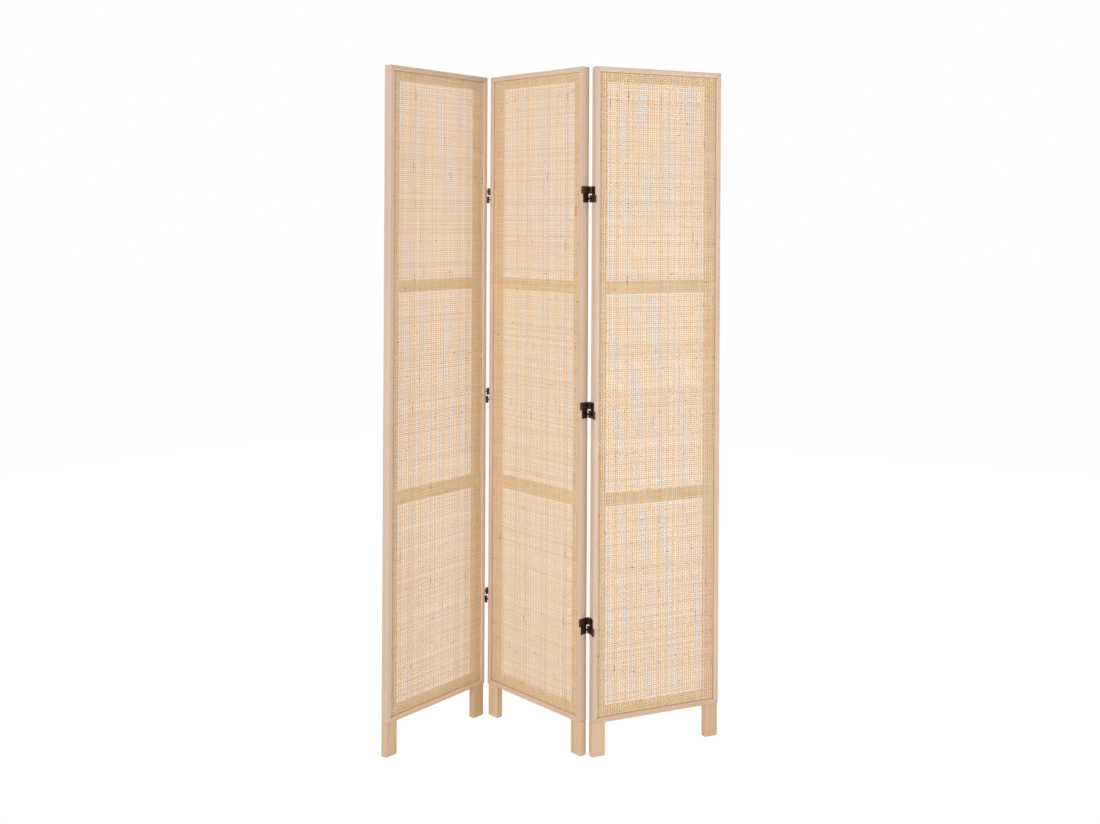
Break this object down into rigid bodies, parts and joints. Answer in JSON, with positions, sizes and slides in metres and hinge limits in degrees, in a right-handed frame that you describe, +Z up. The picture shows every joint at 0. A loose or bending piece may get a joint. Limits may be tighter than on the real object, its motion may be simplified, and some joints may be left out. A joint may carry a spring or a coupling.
{
  "type": "folding screen",
  "caption": "Free-standing folding screen of framed woven cane panels on short legs, joined edge to edge by double-acting hinges so that it folds flat.",
  "frame": {"origin": "on the floor, under the middle of the standing screen's bounding box", "axes": "+Z up, +X along the row from the first panel's free end to the last one's, -Y towards the front of the screen"},
  "size_m": [0.8556, 0.3422, 1.7],
  "materials": {
    "lipping_wood": "satin",
    "inner_wood": "plain sanded",
    "leg_wood": "satin",
    "cane": "natural woven",
    "hinge_bronze": "dark bronzed steel"
  },
  "bodies": {
    "panel_2": {"panel_2_outer_stile_left": "lipping_wood", "panel_2_outer_stile_right": "lipping_wood", "panel_2_outer_rail_top": "lipping_wood", "panel_2_bottom_rail": "lipping_wood", "panel_2_inner_stile_left": "inner_wood", "panel_2_inner_stile_right": "inner_wood", "panel_2_inner_rail_top": "inner_wood", "panel_2_cross_bar_upper": "inner_wood", "panel_2_cross_bar_lower": "inner_wood", "panel_2_leg_left": "leg_wood", "panel_2_leg_right": "leg_wood", "panel_2_webbing": "cane", "valley_top_hinge_right_plate": "hinge_bronze", "valley_top_hinge_upper_strap": "hinge_bronze", "valley_middle_hinge_right_plate": "hinge_bronze", "valley_middle_hinge_upper_strap": "hinge_bronze", "valley_bottom_hinge_right_plate": "hinge_bronze", "valley_bottom_hinge_upper_strap": "hinge_bronze", "ridge_top_hinge_left_plate": "hinge_bronze", "ridge_top_hinge_upper_strap": "hinge_bronze", "ridge_middle_hinge_left_plate": "hinge_bronze", "ridge_middle_hinge_upper_strap": "hinge_bronze", "ridge_bottom_hinge_left_plate": "hinge_bronze", "ridge_bottom_hinge_upper_strap": "hinge_bronze"},
    "panel_1": {"panel_1_outer_stile_left": "lipping_wood", "panel_1_outer_stile_right": "lipping_wood", "panel_1_outer_rail_top": "lipping_wood", "panel_1_bottom_rail": "lipping_wood", "panel_1_inner_stile_left": "inner_wood", "panel_1_inner_stile_right": "inner_wood", "panel_1_inner_rail_top": "inner_wood", "panel_1_cross_bar_upper": "inner_wood", "panel_1_cross_bar_lower": "inner_wood", "panel_1_leg_left": "leg_wood", "panel_1_leg_right": "leg_wood", "panel_1_webbing": "cane", "valley_top_hinge_left_plate": "hinge_bronze", "valley_top_hinge_lower_strap": "hinge_bronze", "valley_middle_hinge_left_plate": "hinge_bronze", "valley_middle_hinge_lower_strap": "hinge_bronze", "valley_bottom_hinge_left_plate": "hinge_bronze", "valley_bottom_hinge_lower_strap": "hinge_bronze"},
    "panel_3": {"panel_3_outer_stile_left": "lipping_wood", "panel_3_outer_stile_right": "lipping_wood", "panel_3_outer_rail_top": "lipping_wood", "panel_3_bottom_rail": "lipping_wood", "panel_3_inner_stile_left": "inner_wood", "panel_3_inner_stile_right": "inner_wood", "panel_3_inner_rail_top": "inner_wood", "panel_3_cross_bar_upper": "inner_wood", "panel_3_cross_bar_lower": "inner_wood", "panel_3_leg_left": "leg_wood", "panel_3_leg_right": "leg_wood", "panel_3_webbing": "cane", "ridge_top_hinge_right_plate": "hinge_bronze", "ridge_top_hinge_lower_strap": "hinge_bronze", "ridge_middle_hinge_right_plate": "hinge_bronze", "ridge_middle_hinge_lower_strap": "hinge_bronze", "ridge_bottom_hinge_right_plate": "hinge_bronze", "ridge_bottom_hinge_lower_strap": "hinge_bronze"}
  },
  "joints": [
    {"name": "valley_fold", "type": "hinge", "parent": "panel_2", "child": "panel_1", "pos_m": [-0.14197, 0.14729, 0.8525], "axis": [0, 0, 1], "range_deg": [-98.5, 81.5]},
    {"name": "ridge_fold", "type": "hinge", "parent": "panel_2", "child": "panel_3", "pos_m": [0.07446, -0.14124, 0.8525], "axis": [0, 0, 1], "range_deg": [-70.7, 109.3]}
  ]
}
